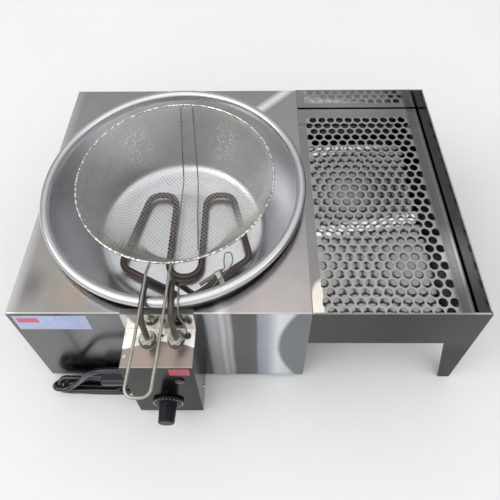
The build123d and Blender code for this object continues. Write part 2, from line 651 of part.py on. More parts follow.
PLUG_Y = -14.0
PLUG_Z = HANK_TOP + 0.3 + 8.5
PLUG_BACK, PLUG_FACE = -111.0, -73.0
plug = slab(PLUG_BACK, PLUG_FACE, PLUG_Y - 12, PLUG_Y + 10, PLUG_Z - 8.5, PLUG_Z + 8.5)
plug = fillet(plug.edges().filter_by(Axis.X), 6.0)
plug = fillet(plug.faces().sort_by(Axis.X)[0].edges(), 3.0)
plug += Plane(origin=(PLUG_BACK, PLUG_Y, PLUG_Z), z_dir=(-1, 0, 0)) * Cone(
    6.0, 4.3, 18.0, align=STANDING)
save("power_plug", plug)
pins = []
for off in (-7.5, 0.0, 7.5):
    y = PLUG_Y - 1 + off
    rise = 1.5 if off == 0.0 else -1.5
    pin = rod(2.0, (PLUG_FACE, y, PLUG_Z + rise), (PLUG_FACE + 19, y, PLUG_Z + rise))
    pins.append(fillet(pin.edges().sort_by(Axis.X)[-1], 1.2))
save("plug_pins", *pins)

# ---------------------------------------------------------------- basket
BASKET_T = 1.2
mesh_top_z = BASKET_Z - RING_WIRE_R - 0.1
mesh_slope = (BASKET_R - 1.0 - BASKET_FLOOR_R) / (mesh_top_z - BASKET_FLOOR_Z)


def basket_outer_r(z):
    """Outer radius of the basket's mesh wall at a height."""
    return BASKET_FLOOR_R + (z - BASKET_FLOOR_Z) * mesh_slope


ring = Pos(BASKET_X, BASKET_Y, BASKET_Z) * Torus(BASKET_R, RING_WIRE_R)
save("basket_ring", ring)
mesh = turned(
    [
        (0, BASKET_FLOOR_Z), (BASKET_FLOOR_R, BASKET_FLOOR_Z), (basket_outer_r(mesh_top_z), mesh_top_z),
        (basket_outer_r(mesh_top_z) - BASKET_T, mesh_top_z),
        (BASKET_FLOOR_R + BASKET_T * mesh_slope - BASKET_T, BASKET_FLOOR_Z + BASKET_T),
        (0, BASKET_FLOOR_Z + BASKET_T),
    ],
    BASKET_X, BASKET_Y,
)
save("basket_mesh", mesh)

PATCH_ARC = 13.0
PATCH_START = 272.0            # degrees round the basket, 270 being straight to the front
patch_face = Plane.XZ * Polygon(
    (basket_outer_r(mesh_top_z) + 0.2, mesh_top_z), (basket_outer_r(mesh_top_z) + 1.0, mesh_top_z),
    (basket_outer_r(-2.0) + 1.0, -2.0), (basket_outer_r(-2.0) + 0.2, -2.0), align=None)
patch = revolve(patch_face, Axis.Z, revolution_arc=PATCH_ARC)
patch = Pos(BASKET_X, BASKET_Y, 0) * (Rot(0, 0, PATCH_START) * patch)
save("basket_patch", patch)


def ring_front_y(x):
    """Where the ring's centre line crosses a given x, at the front."""
    return BASKET_Y - math.sqrt(BASKET_R**2 - (x - BASKET_X)**2)


handle_tip = -HANDLE_REACH + HANDLE_WIRE_R
handle = tube(
    [
        (-16.0, ring_front_y(-16.0), BASKET_Z),
        (-15.0, 38.0, HANDLE_Z),
        (-17.0, -50.0, HANDLE_Z - 1.0),
        (-20.5, handle_tip, HANDLE_Z - 4.0),
        (9.5, handle_tip, HANDLE_Z - 4.0),
        (13.0, -50.0, HANDLE_Z - 1.0),
        (15.0, 38.0, HANDLE_Z),
        (12.5, ring_front_y(12.5), BASKET_Z),
    ],
    HANDLE_WIRE_R,
    [10.0, 200.0, 11.0, 11.0, 200.0, 10.0],
)
save("basket_handle", handle)
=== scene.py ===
import json
import math

import bmesh
import bpy
import numpy as np
from mathutils import Matrix, Vector


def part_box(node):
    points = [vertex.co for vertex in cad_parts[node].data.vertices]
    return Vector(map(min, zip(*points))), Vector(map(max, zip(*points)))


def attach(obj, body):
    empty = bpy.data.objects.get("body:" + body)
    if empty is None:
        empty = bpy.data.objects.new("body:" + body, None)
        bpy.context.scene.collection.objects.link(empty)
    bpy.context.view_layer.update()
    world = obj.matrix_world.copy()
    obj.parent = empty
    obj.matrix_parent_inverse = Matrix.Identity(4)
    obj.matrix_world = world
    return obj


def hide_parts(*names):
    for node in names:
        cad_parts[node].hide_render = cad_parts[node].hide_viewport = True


# Countertop electric deep fryer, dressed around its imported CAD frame.  Lengths are in metres.
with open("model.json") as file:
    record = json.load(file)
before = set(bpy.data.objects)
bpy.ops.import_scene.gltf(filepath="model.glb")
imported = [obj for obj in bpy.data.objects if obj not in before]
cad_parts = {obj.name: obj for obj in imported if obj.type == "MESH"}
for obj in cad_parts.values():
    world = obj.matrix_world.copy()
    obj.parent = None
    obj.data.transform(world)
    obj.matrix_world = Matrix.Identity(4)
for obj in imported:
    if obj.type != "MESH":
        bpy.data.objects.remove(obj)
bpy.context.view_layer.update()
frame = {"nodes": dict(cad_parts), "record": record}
nodes = frame["nodes"]

MM = 0.001
LEFT_PANEL, RIGHT_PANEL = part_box("casing_left_panel"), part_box("casing_right_panel")
# The casing's frame: origin at the middle of the casing's front top edge.
CASE = Vector((
    (LEFT_PANEL[0].x + RIGHT_PANEL[1].x) / 2,
    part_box("casing_wrap")[0].y,
    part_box("casing_wrap")[1].z,
))
TABLE_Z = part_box("feet")[0].z


def in_case(x, y, z):
    """A point in the casing's frame, given in millimetres."""
    return CASE + Vector((x, y, z)) * MM


def link(obj):
    """Puts a new object into the scene."""
    bpy.context.scene.collection.objects.link(obj)
    return obj


# ---------------------------------------------------------------- camera
PITCH, YAW, ROLL = 0.80485, 0.021879, 0.020252
FOCAL_SHARE = 530.63 / 500          # focal length over the picture's width
SENSOR = 36.0
LENS_SHIFT = -0.26                  # share of the picture's height
CAMERA_AT = (130.818, -294.160, 667.776)                # in the casing's frame, in millimetres


def make_camera():
    """A camera above the front right, looking down at the fryer, with its lens shifted down."""
    forward = Vector((0, math.cos(PITCH), -math.sin(PITCH)))
    down = Vector((0, -math.sin(PITCH), -math.cos(PITCH)))
    turn = Matrix.Rotation(YAW, 3, "Z")
    right, forward, down = turn @ Vector((1, 0, 0)), turn @ forward, turn @ down
    across = math.cos(ROLL) * right + math.sin(ROLL) * down
    low = -math.sin(ROLL) * right + math.cos(ROLL) * down
    data = bpy.data.cameras.new("camera")
    data.sensor_width = SENSOR
    data.lens = SENSOR * FOCAL_SHARE
    data.shift_y = LENS_SHIFT
    data.clip_start, data.clip_end = 0.02, 50.0
    camera = link(bpy.data.objects.new("camera", data))
    axes = Matrix((across, -low, -forward)).transposed()
    camera.matrix_world = Matrix.Translation(in_case(*CAMERA_AT)) @ axes.to_4x4()
    bpy.context.scene.camera = camera


make_camera()

# ---------------------------------------------------------------- cord
CORD_D = 0.0075
STRAND = 0.0082                     # between neighbouring strands of the hank
CORD_ROUTE = [                      # from the strain relief's tip to the hank, in the casing's frame
    (-0.074, -0.026, -0.130),
    (-0.097, -0.026, -0.130),
    (-0.116, -0.026, -0.142),
    (-0.131, -0.025, -0.164),
    (-0.143, -0.024, -0.187),
    (-0.158, -0.025, -0.205),
]
PLUG_APPROACH = [                   # from the hank's top up to the plug's tail
    (-0.151, -0.0178, -0.2085),
    (-0.144, -0.0165, -0.2040),
    (-0.137, -0.0148, -0.1972),
    (-0.1285, -0.0140, -0.1947),
]
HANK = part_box("cord_hank")
# Column and row of each strand in the hank's section, in the order that the cord runs through them.
STRANDS = [(0, 2), (2, 0), (0, 0), (2, 1), (0, 1), (2, 2), (1, 0), (1, 2)]
LEFT_RANK = [3, 1, 2, 0]            # how far out each left-hand fold lies, 0 being the innermost
RIGHT_RANK = [2, 0, 1]
FOLD_STEP = 0.0078                  # how much further in each next fold lies
RUN_POINTS = 4
RUN_LEAD = 0.010                    # the first strand starts this far left of the route's last point
TABLE_GAP = 0.0002                  # under the lowest strand
HANK_SHORT = 0.008                  # the right-hand folds end this far short of the CAD hank
HANK_TURN = math.radians(11.0)      # how far the section turns, and back again
HANK_TURN_RATE = 1.7                # the turn is over at 1 / this of the hank's length
HANK_WAIST = 0.03                   # share by which the strands draw together halfway
FOLD_COS = math.cos(math.pi / 8)    # control points 45 degrees apart lie outside their arc by 1 / this


def hank_points():
    """Control points of the hank's eight strands and the half-round folds that join them."""
    middle_y = (HANK[0].y + HANK[1].y) / 2
    low_z = TABLE_Z + CORD_D / 2 + TABLE_GAP
    radius = [math.dist(a, b) * STRAND / 2 for a, b in zip(STRANDS, STRANDS[1:])]
    left_tip = HANK[0].x + CORD_D / 2
    right_tip = HANK[1].x - CORD_D / 2 - HANK_SHORT

    def fold_start(index):
        """Where the straight runs end at the fold after a strand."""
        if index % 2 == 0:
            return left_tip + (3 - LEFT_RANK[index // 2]) * FOLD_STEP + radius[index]
        return right_tip - (2 - RIGHT_RANK[index // 2]) * FOLD_STEP - radius[index]

    def in_section(x, column, row):
        """A point of the section, which turns a little and back along the left of the hank."""
        share = min(1.0, max(0.0, (x - left_tip) / (right_tip - left_tip)))
        turn = HANK_TURN * math.sin(math.pi * min(1.0, share * HANK_TURN_RATE)) ** 2
        waist = 1.0 - HANK_WAIST * math.sin(math.pi * share) ** 2
        side, rise = (column - 1) * STRAND * waist, (row - 1) * STRAND * waist
        y = side * math.cos(turn) - rise * math.sin(turn)
        z = side * math.sin(turn) + rise * math.cos(turn)
        lift = STRAND * waist * (math.sqrt(2) * math.sin(math.pi / 4 + turn))
        return Vector((x, middle_y + y, low_z + lift + z))

    points = []
    begin = CASE.x + CORD_ROUTE[-1][0] - RUN_LEAD
    for index, strand in enumerate(STRANDS[:-1]):
        way = -1 if index % 2 == 0 else 1
        end = fold_start(index)
        for step in range(RUN_POINTS):
            share = (step + 0.5) / RUN_POINTS
            points.append(in_section(begin + (end - begin) * share, *strand))
        after = STRANDS[index + 1]
        centre = ((strand[0] + after[0]) / 2, (strand[1] + after[1]) / 2)
        for corner in (22.5, 67.5, 112.5, 157.5):
            angle = math.radians(corner)
            reach = math.cos(angle) / FOLD_COS
            x = end + way * radius[index] * math.sin(angle) / FOLD_COS
            column = centre[0] + (strand[0] - centre[0]) * reach
            row = centre[1] + (strand[1] - centre[1]) * reach
            points.append(in_section(x, column, row))
        begin = end
    return points


def nurbs_line(name, points, thickness, rings=6):
    """A round cord along one smooth open spline."""
    data = bpy.data.curves.new(name, "CURVE")
    data.dimensions = "3D"
    data.bevel_depth = 1.0              # scaled by each point's own radius, which also sets the curve's box
    data.bevel_resolution = rings
    data.resolution_u = 8
    data.use_fill_caps = True
    spline = data.splines.new("NURBS")
    spline.points.add(len(points) - 1)
    for slot, place in zip(spline.points, points):
        slot.co = (*place, 1.0)
        slot.radius = thickness / 2
    spline.order_u = 3
    spline.use_endpoint_u = True
    return link(bpy.data.objects.new(name, data))


exit_run = [CASE + Vector(p) for p in CORD_ROUTE]
plug_run = [CASE + Vector(p) for p in PLUG_APPROACH]
cord = nurbs_line("mains_cord", exit_run + hank_points() + plug_run, CORD_D)
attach(cord, "heater_unit")
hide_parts("power_cord", "cord_hank")

# ---------------------------------------------------------------- node materials
class Tree:
    """A material's node tree, with short ways to add and join nodes."""

    def __init__(self, name):
        self.material = bpy.data.materials.new(name)
        self.material.use_nodes = True
        self.nodes = self.material.node_tree.nodes
        self.links = self.material.node_tree.links
        self.nodes.clear()
        self.output = self.nodes.new("ShaderNodeOutputMaterial")
        coords = self.add("TexCoord").outputs
        self.place, self.facing = coords["Object"], coords["Normal"]

    def add(self, kind, settings=None, **values):
        """A node of a kind, its settings set and its sockets filled or linked by name."""
        node = self.nodes.new("ShaderNode" + kind)
        for key, value in (settings or {}).items():
            setattr(node, key, value)
        for key, value in values.items():
            self.fill(node, key.replace("_", " "), value)
        return node

    def fill(self, node, socket, value):
        """Sets a socket by its name or number, or links another socket to it."""
        target = node.inputs[int(socket[3:]) if socket.startswith("in ") else socket]
        if isinstance(value, bpy.types.NodeSocket):
            self.links.new(value, target)
        else:
            target.default_value = value

    def math(self, operation, first, second=0.0):
        """One Math node."""
        return self.add("Math", {"operation": operation}, in_0=first, in_1=second).outputs[0]

    def noise(self, scale, stretch=(1, 1, 1), detail=3.0, rough=0.5, offset=(0, 0, 0)):
        """Noise between about 0 and 1, stretched along the axes."""
        mapping = self.add("Mapping", Vector=self.place, Scale=stretch, Location=offset)
        node = self.add("TexNoise", Vector=mapping.outputs[0], Scale=scale, Detail=detail, Roughness=rough)
        return node.outputs["Fac"]

    def spread(self, value, low, high, to_low=0.0, to_high=1.0):
        """Maps a range to another, clamped."""
        node = self.add("MapRange", Value=value, From_Min=low, From_Max=high, To_Min=to_low, To_Max=to_high)
        return node.outputs[0]

    def both(self, first, second):
        """1 where both masks are 1."""
        return self.math("MULTIPLY", first, second)

    def between(self, value, low, high, soft):
        """1 between two values, fading over a soft width at each end."""
        above = self.spread(value, low - soft, low + soft)
        return self.both(above, self.spread(value, high + soft, high - soft))

    def mix(self, share, first, second):
        """Mixes two colours."""
        node = self.add("Mix", {"data_type": "RGBA"})
        self.fill(node, "in 0", share)
        self.fill(node, "in 6", first)
        self.fill(node, "in 7", second)
        return node.outputs[2]

    def ramp(self, value, low, high, stops):
        """A colour ramp over a range, from pairs of a value in it and a colour."""
        node = self.add("ValToRGB", None, Fac=self.spread(value, low, high))
        marks = node.color_ramp.elements
        marks[0].color, marks[1].color = stops[0][1], stops[-1][1]
        for at, colour in stops[1:-1]:
            marks.new((at - low) / (high - low)).color = colour
        return node.outputs[0]

    def axes(self):
        """The point's x, y and z in the casing's frame, in millimetres."""
        local = self.add("VectorMath", {"operation": "SUBTRACT"}, in_0=self.place, in_1=tuple(CASE))
        scaled = self.add("VectorMath", {"operation": "SCALE"}, in_0=local.outputs[0], Scale=1 / MM)
        return self.add("SeparateXYZ", Vector=scaled.outputs[0]).outputs

    def blob(self, centre, size, soft=0.2):
        """1 about a point of the casing's frame, fading to 0 at an ellipsoid round it, in millimetres."""
        middle = tuple(in_case(*centre))
        away = self.add("VectorMath", {"operation": "SUBTRACT"}, in_0=self.place, in_1=middle)
        scaled = self.add("VectorMath", {"operation": "DIVIDE"}, in_0=away.outputs[0],
                          in_1=tuple(s * MM for s in size))
        length = self.add("VectorMath", {"operation": "LENGTH"}, in_0=scaled.outputs[0])
        return self.spread(length.outputs["Value"], 1.0, soft)

    def towards(self, axis, sign):
        """1 on faces that look along an axis."""
        split = self.add("SeparateXYZ", Vector=self.facing)
        return self.spread(self.math("MULTIPLY", split.outputs[axis], sign), 0.35, 0.75)

    def bump(self, height, strength, distance, under=None):
        """A bumped normal, on top of another one if given."""
        node = self.add("Bump", Height=height, Strength=strength, Distance=distance)
        if under is not None:
            self.fill(node, "Normal", under)
        return node.outputs[0]

    def worn(self, radius):
        """1 along sharp edges, 0 on flats."""
        bevel = self.add("Bevel", {"samples": 4}, Radius=radius)
        flat = self.add("NewGeometry").outputs["Normal"]
        node = self.add("VectorMath", {"operation": "DOT_PRODUCT"}, in_0=bevel.outputs[0], in_1=flat)
        return self.spread(node.outputs["Value"], 0.995, 0.86)

    def surface(self, **values):
        """The Principled shader of the material, joined to its output."""
        shader = self.add("BsdfPrincipled", None, **values)
        self.links.new(shader.outputs[0], self.output.inputs["Surface"])
        return shader


def rgb(red, green, blue):
    """A colour with full alpha."""
    return (red, green, blue, 1.0)


def grey(value, warm=0.0):
    """A near-neutral colour, tilted from blue to red by warm."""
    return rgb(value * (1 + warm), value, value * (1 - warm))


def sheet_steel(name, paint, rough=0.14, grain=(1, 1, 40), smear=0.05, wave=0.0005, gleam=0.35, edge=1.0):
    """Stainless sheet over painted tones of reflection, light and shade: fine grain, smears, slight waves
    and bright worn edges.

    paint gives a tone, or a tone and how metallic it is; edge below 1 dims it at a glancing angle.
    """
    t = Tree(name)
    cloud = t.noise(5.0, detail=4.0)
    smudge = t.noise(16.0, (1, 1, 1), 5.0, 0.6, (3, 1, 7))
    lines = t.noise(60.0, grain, 4.0, 0.6)
    scratch = t.noise(9.0, tuple(g * 6 + 2 for g in grain), 6.0, 0.7, (5, 2, 9))
    painted = paint(t)
    tone, metal = painted if isinstance(painted, tuple) else (painted, 1.0)
    shade = t.math("ADD", t.spread(cloud, 0.3, 0.7, 0.92, 1.08), t.spread(smudge, 0.5, 0.75, 0.0, -0.10))
    shade = t.math("ADD", shade, t.spread(lines, 0.3, 0.7, -0.035, 0.035))
    scaled = t.add("VectorMath", {"operation": "SCALE"}, in_0=tone, Scale=shade)
    tone = t.mix(t.math("MULTIPLY", t.worn(0.0009), gleam), scaled.outputs[0], grey(0.6))
    roughness = t.math("ADD", t.spread(lines, 0.3, 0.7, rough - 0.03, rough + 0.03),
                       t.spread(smudge, 0.45, 0.75, 0.0, smear))
    normal = t.bump(t.noise(7.0, detail=1.0, offset=(2, 8, 4)), 0.8, wave)
    normal = t.bump(t.math("ADD", lines, t.math("MULTIPLY", scratch, 0.6)), 0.08, 0.0003, normal)
    t.surface(Base_Color=tone, Metallic=metal, Roughness=roughness, Normal=normal, Anisotropic=0.4,
              Specular_Tint=grey(edge))
    return t.material


# Upright bands of painted reflection and shade along the casing's front: x in millimetres, tone, warmth.
FRONT_REFLECTION_BANDS = [
    (-200, 0.12, -0.02), (-160, 0.13, -0.04), (-141, 0.12, -0.05), (-133, 0.06, -0.06), (-124, 0.14, -0.06),
    (-100, 0.21, -0.05), (-70, 0.20, -0.04), (-50, 0.17, -0.02), (48, 0.055, -0.04), (57, 0.05, -0.04),
    (60, 0.36, -0.03), (70, 0.45, -0.04), (76, 0.38, -0.02), (81, 0.64, -0.02), (86, 0.38, -0.02),
    (91, 0.52, 0.0), (96, 0.10, 0.02), (112, 0.085, 0.02), (127, 0.10, 0.0), (130, 0.34, -0.10),
    (144, 0.46, -0.10), (158, 0.85, -0.04), (176, 0.75, -0.06), (200, 0.40, -0.05),
]


def casing_painted_light(t):
    """Painted reflections and shade: upright bands along the front with a darker patch over its right end, a
    paler top with warm, dark and bright painted patches and painted highlights, and sides darker towards the
    bottom.
    """
    x, y, z = t.axes()
    sway = t.math("MULTIPLY", t.math("SUBTRACT", t.noise(7.0, (0.3, 1, 1)), 0.5), 8.0)
    bands = [(at, grey(tone, warm)) for at, tone, warm in FRONT_REFLECTION_BANDS]
    front = t.ramp(t.math("ADD", x, sway), bands[0][0], bands[-1][0], bands)
    # Painted shade over the front's right end, edged by a large circle.
    front = t.mix(t.blob((413, 0, -103), (258, 900, 258), 0.975), front, grey(0.19, -0.08))
    # The top: painted reflections, paler towards the back, with warm, dark and bright painted patches; the
    # patch in front of the pot lifts its shade.
    top = t.mix(t.spread(y, 0, 420), grey(0.32, 0.01), grey(0.38, 0.0))
    top = t.mix(t.blob((-150, 60, 0), (90, 110, 40)), top, grey(0.34, 0.06))
    top = t.mix(t.blob((-120, 36, 0), (34, 40, 40)), top, rgb(0.40, 0.34, 0.29))
    top = t.mix(t.blob((-176, 40, 0), (24, 34, 40)), top, grey(0.22, 0.03))
    top = t.mix(t.blob((150, 20, 0), (120, 110, 40)), top, rgb(0.47, 0.435, 0.425))
    top = t.mix(t.blob((80, 6, 0), (14, 20, 40)), top, grey(0.62, 0.04))
    top = t.mix(t.blob((0, -14, 0), (90, 40, 40)), top, grey(0.42, 0.02))
    # Painted highlight along the top's left edge.
    top = t.mix(t.spread(x, -184, -199), top, grey(0.55, 0.0))
    # Painted highlight: a bright diagonal streak near the back right corner.
    across = t.math("SUBTRACT", t.math("MULTIPLY", x, 0.70), t.math("MULTIPLY", y, 0.72))
    highlight_streak = t.both(t.between(across, -182, -168, 5.0), t.blob((156, 402, 0), (60, 60, 40), 0.6))
    top = t.mix(highlight_streak, top, grey(0.98, 0.0))
    # Sides: painted shade, darker towards the bottom.
    side = t.mix(t.spread(z, -230, 0), grey(0.16), grey(0.30))
    return t.mix(t.towards(2, 1), t.mix(t.towards(1, -1), side, front), top)


def tray_painted_light(t):
    """Painted reflections and shade: dark outer faces with painted reflections, darker towards their bottom;
    a mid-grey sheet and right border painted lighter, painted highlights on both borders, a paler painted
    reflection on the back wall and painted shade on the right wall; right border and inward faces less
    metallic.
    """
    x, y, z = t.axes()
    outer_front = t.both(t.towards(1, -1), t.spread(y, 14, 8))
    outer_side = t.both(t.towards(0, 1), t.spread(x, 424, 430))
    tone = t.mix(t.spread(y, 60, 400), grey(0.26, 0.02), grey(0.25, 0.01))
    # Painted light: the right border and the sheet lighter, with a painted highlight on the right border.
    tone = t.mix(t.spread(x, 404, 412), tone, grey(0.40, 0.0))
    tone = t.mix(t.both(t.spread(z, -52.5, -52.7), t.spread(z, -56, -55)), tone, grey(0.36, 0.01))
    tone = t.mix(t.blob((420, 111, -53), (18, 60, 20)), tone, grey(0.95, -0.02))
    # Painted highlight: a pale cream patch on the left border.
    left_border_highlight = t.both(t.blob((222, 34, -51), (20, 44, 20), 0.8), t.spread(x, 223.0, 222.0))
    tone = t.mix(left_border_highlight, tone, rgb(0.86, 0.80, 0.72))
    # Painted reflection: the back wall's inner face paler.
    inner_back = t.both(t.towards(1, -1), t.spread(y, 400, 410))
    tone = t.mix(inner_back, tone, grey(0.56, 0.0))
    # Painted shade on the right wall's inner face.
    tone = t.mix(t.both(t.towards(0, -1), t.spread(z, -50, -44)), tone, grey(0.12, 0.01))
    # Painted reflections along the outer aprons, and painted shade darker towards their bottom.
    shades = [(200, grey(0.095, 0.02)), (320, grey(0.062, 0.01)), (433, grey(0.090, 0.01))]
    apron = t.ramp(x, 200, 433, shades)
    apron = t.mix(t.spread(z, -90, -130), apron, grey(0.046, 0.0))
    border = t.both(t.spread(x, 404, 412), t.towards(2, 1))
    inward = t.math("MAXIMUM", t.towards(1, 1), t.both(t.towards(0, 1), t.spread(x, 424, 420)))
    inward = t.both(inward, t.spread(y, 420, 416))
    tone = t.mix(inward, tone, grey(0.34, 0.0))
    dull = t.math("MAXIMUM", t.math("MULTIPLY", border, 0.42), inward)
    tone = t.mix(outer_side, t.mix(outer_front, tone, apron), grey(0.12, 0.0))
    return tone, t.spread(dull, 0.0, 1.0, 1.0, 0.4)


def pan_painted_light(t):
    """Polished pan with painted reflections: bright painted bands across it, painted shade on a patch and at
    the far end, and a paler right rim with a painted highlight.
    """
    x, y, z = t.axes()
    slant = t.math("SUBTRACT", y, t.math("MULTIPLY", x, 0.18))
    tone = t.mix(t.noise(6.0), grey(0.25, 0.02), grey(0.33, 0.01))
    # Painted shade: a dark patch and the far end.
    tone = t.mix(t.blob((360, 265, -93), (90, 70, 30)), tone, grey(0.15, 0.02))
    tone = t.mix(t.spread(y, 350, 385), tone, grey(0.14, 0.0))
    # Painted reflections: bright bands across the pan.
    tone = t.mix(t.between(slant, 128, 146, 4.0), tone, grey(0.95, 0.0))
    tone = t.mix(t.between(slant, 300, 318, 3.0), tone, grey(0.8, 0.0))
    # The right rim: painted paler, with a painted highlight.
    rim = t.mix(t.blob((424, 118, -55), (16, 60, 24)), grey(0.46, 0.01), grey(0.95, -0.02))
    tone = t.mix(t.spread(x, 400, 425), tone, grey(0.30, 0.0))
    return t.mix(t.both(t.spread(x, 404, 412), t.spread(z, -75, -66)), tone, rim)


def box_painted_light(t):
    """Brown-grey top with a creamy scalloped painted reflection at its back, less metallic; painted shade on
    upward faces above the top; light and dark painted reflections on the hook plate; a dark front with
    painted shade at its right and in its middle; grey sides darker towards the bottom.
    """
    x, y, z = t.axes()
    # Painted reflection: a bright creamy patch over the back of the top, with a scalloped front edge and
    # streaky mottle.
    scallop = t.math("MULTIPLY", t.math("SUBTRACT", t.noise(26.0, (1, 0.2, 1), 1.0), 0.5), 26.0)
    edge = t.math("ADD", t.math("ADD", y, t.math("ABSOLUTE", t.math("MULTIPLY", x, 0.16))), scallop)
    bright = t.spread(edge, -21.0, -19.0)
    top = t.mix(t.noise(30.0, detail=4.0), rgb(0.36, 0.28, 0.245), rgb(0.30, 0.265, 0.24))
    mottle = t.spread(t.noise(38.0, detail=1.0), 0.30, 0.40)
    gloss = t.mix(mottle, rgb(0.66, 0.58, 0.50), rgb(1.0, 0.96, 0.90))
    top = t.mix(bright, top, gloss)
    # Painted shade on upward faces above the top.
    top = t.mix(t.spread(z, -22.0, -20.0), top, grey(0.16, 0.01))
    # Front: painted shade at its right and on a patch in its middle.
    front = t.mix(t.blob((-28, -53, -110), (26, 30, 40), 0.5), grey(0.045, 0.05), grey(0.050, 0.04))
    front = t.mix(t.spread(x, 8, 40), front, grey(0.020, 0.01))
    front = t.mix(t.blob((-1, -53, -128), (13, 30, 34), 0.5), front, grey(0.02, 0.0))
    # Painted reflections, light and dark, on the front faces above the top.
    plate = t.mix(t.spread(t.noise(30.0, (1, 1, 0.3), 1.0), 0.48, 0.56), grey(0.20, 0.03), grey(0.75, 0.03))
    front = t.mix(t.spread(z, -40.5, -39.5), front, plate)
    # Sides: painted shade, darker towards the bottom.
    side = t.mix(t.spread(z, -222, -41), grey(0.24, 0.03), grey(0.32, 0.06))
    tone = t.mix(t.towards(2, 1), t.mix(t.towards(1, -1), side, front), top)
    return tone, t.spread(t.both(bright, t.towards(2, 1)), 0.0, 1.0, 1.0, 0.35)


def wire_metal(name, colour, rough=0.25, mottle=60.0, tint=None, bumpy=0.0002, ring=None, glint_spots=()):
    """Drawn wire or tube: uneven colour, pits and stains, with painted glints at the height ring or about
    the given spots.
    """
    t = Tree(name)
    cloud = t.noise(mottle, detail=4.0)
    stain = t.noise(mottle * 0.25, detail=5.0, offset=(4, 4, 1))
    tone = t.mix(t.spread(cloud, 0.3, 0.7), rgb(*[c * 0.82 for c in colour]), rgb(*colour))
    tone = t.mix(t.spread(stain, 0.52, 0.68, 0.0, 0.7), tone, rgb(*(tint or [c * 0.6 for c in colour])))
    # Painted glints: bright speckles in a band at the ring's height and in the given spots.
    if ring is not None:
        level = t.between(t.axes()[2], ring - 2.5, ring + 2.5, 0.5)
        glint = t.both(level, t.spread(t.noise(230.0), 0.48, 0.56))
        tone = t.mix(glint, tone, rgb(0.95, 0.93, 0.86))
    for centre, size in glint_spots:
        glint = t.both(t.blob(centre, size, 0.6), t.spread(t.noise(260.0, detail=1.0), 0.52, 0.58))
        tone = t.mix(glint, tone, rgb(1.0, 0.98, 0.94))
    normal = t.bump(t.noise(mottle * 12, detail=3.0), 0.25, bumpy)
    t.surface(Base_Color=tone, Metallic=1.0, Normal=normal,
              Roughness=t.spread(cloud, 0.3, 0.7, rough, rough + 0.12))
    return t.material


# Painted shade of the pot's wall from its left to its right: metres from the axis, share of the colour.
WALL_SHADES = [(-0.17, 0.56), (-0.05, 0.88), (0.17, 1.03)]


def spun_aluminium(name, colour, centre, rim_z):
    """Spun aluminium: fine rings about the vertical axis through a centre, satin; painted shade darker to
    the left and above rim_z, painted light paler to the back and on upward faces.
    """
    t = Tree(name)
    local = t.add("VectorMath", {"operation": "SUBTRACT"}, in_0=t.place, in_1=(centre.x, centre.y, 0.0))
    split = t.add("SeparateXYZ", Vector=local.outputs[0])
    across = t.math("SQRT", t.math("ADD", t.math("POWER", split.outputs[0], 2.0),
                                   t.math("POWER", split.outputs[1], 2.0)))
    along = t.math("ADD", across, t.math("MULTIPLY", split.outputs[2], 0.55))
    ring_at = t.add("CombineXYZ", X=t.math("MULTIPLY", along, 900.0),
                    Y=t.math("MULTIPLY", split.outputs[0], 3.0), Z=t.math("MULTIPLY", split.outputs[1], 3.0))
    rings = t.add("TexNoise", Vector=ring_at.outputs[0], Scale=1.0, Detail=4.0, Roughness=0.65)
    rings = rings.outputs["Fac"]
    cloud = t.noise(9.0, detail=5.0, rough=0.55)
    # Painted shade and light: the wall darker to the left and paler to the back, and upward faces paler.
    shades = [(at, rgb(*[min(1.0, c * share) for c in colour])) for at, share in WALL_SHADES]
    tone = t.ramp(split.outputs[0], WALL_SHADES[0][0], WALL_SHADES[-1][0], shades)
    tone = t.mix(t.spread(split.outputs[1], 0.06, 0.18), tone, rgb(*[min(1.0, c * 1.12) for c in colour]))
    tone = t.mix(t.towards(2, 1), tone, rgb(*[min(1.0, c * 1.12) for c in colour]))
    # Painted shade: darker above rim_z, where the roughness is also lower.
    rim = t.spread(split.outputs[2], rim_z - 0.002, rim_z)
    tone = t.mix(rim, tone, rgb(*[c * 0.80 for c in colour]))
    shade = t.math("ADD", t.spread(cloud, 0.3, 0.72, 0.88, 1.05), t.spread(rings, 0.35, 0.7, 0.0, -0.12))
    scaled = t.add("VectorMath", {"operation": "SCALE"}, in_0=tone, Scale=shade)
    tone = t.mix(t.math("MULTIPLY", t.worn(0.0009), 0.3), scaled.outputs[0], grey(0.9))
    normal = t.bump(rings, 0.10, 0.0003)
    normal = t.bump(t.noise(22.0, detail=2.0), 0.25, 0.0006, normal)
    satin = t.spread(cloud, 0.3, 0.7, 0.26, 0.38)
    t.surface(Base_Color=tone, Metallic=1.0, Normal=normal, Anisotropic=0.3,
              Roughness=t.math("SUBTRACT", satin, t.math("MULTIPLY", rim, 0.08)))
    return t.material


def plastic(name, colour, rough=0.4, grain=1400.0, depth=0.0001, coat=0.0, paint=None, shine=0.5):
    """Moulded plastic or rubber: fine texture, uneven sheen, paler rubbed edges; shine is its gloss."""
    t = Tree(name)
    cloud = t.noise(35.0, detail=4.0)
    worn = t.worn(0.0007)
    tone = t.mix(t.spread(cloud, 0.3, 0.7), rgb(*[c * 0.8 for c in colour]), rgb(*colour))
    if paint:
        tone = paint(t, tone)
    tone = t.mix(t.math("MULTIPLY", worn, 0.35), tone, rgb(*[min(1.0, c * 2.2 + 0.03) for c in colour]))
    normal = t.bump(t.noise(grain, detail=2.0), 0.3, depth)
    t.surface(Base_Color=tone, Normal=normal, Coat_Weight=coat, Specular_IOR_Level=shine,
              Roughness=t.spread(cloud, 0.3, 0.7, rough - 0.07, rough + 0.1))
    return t.material


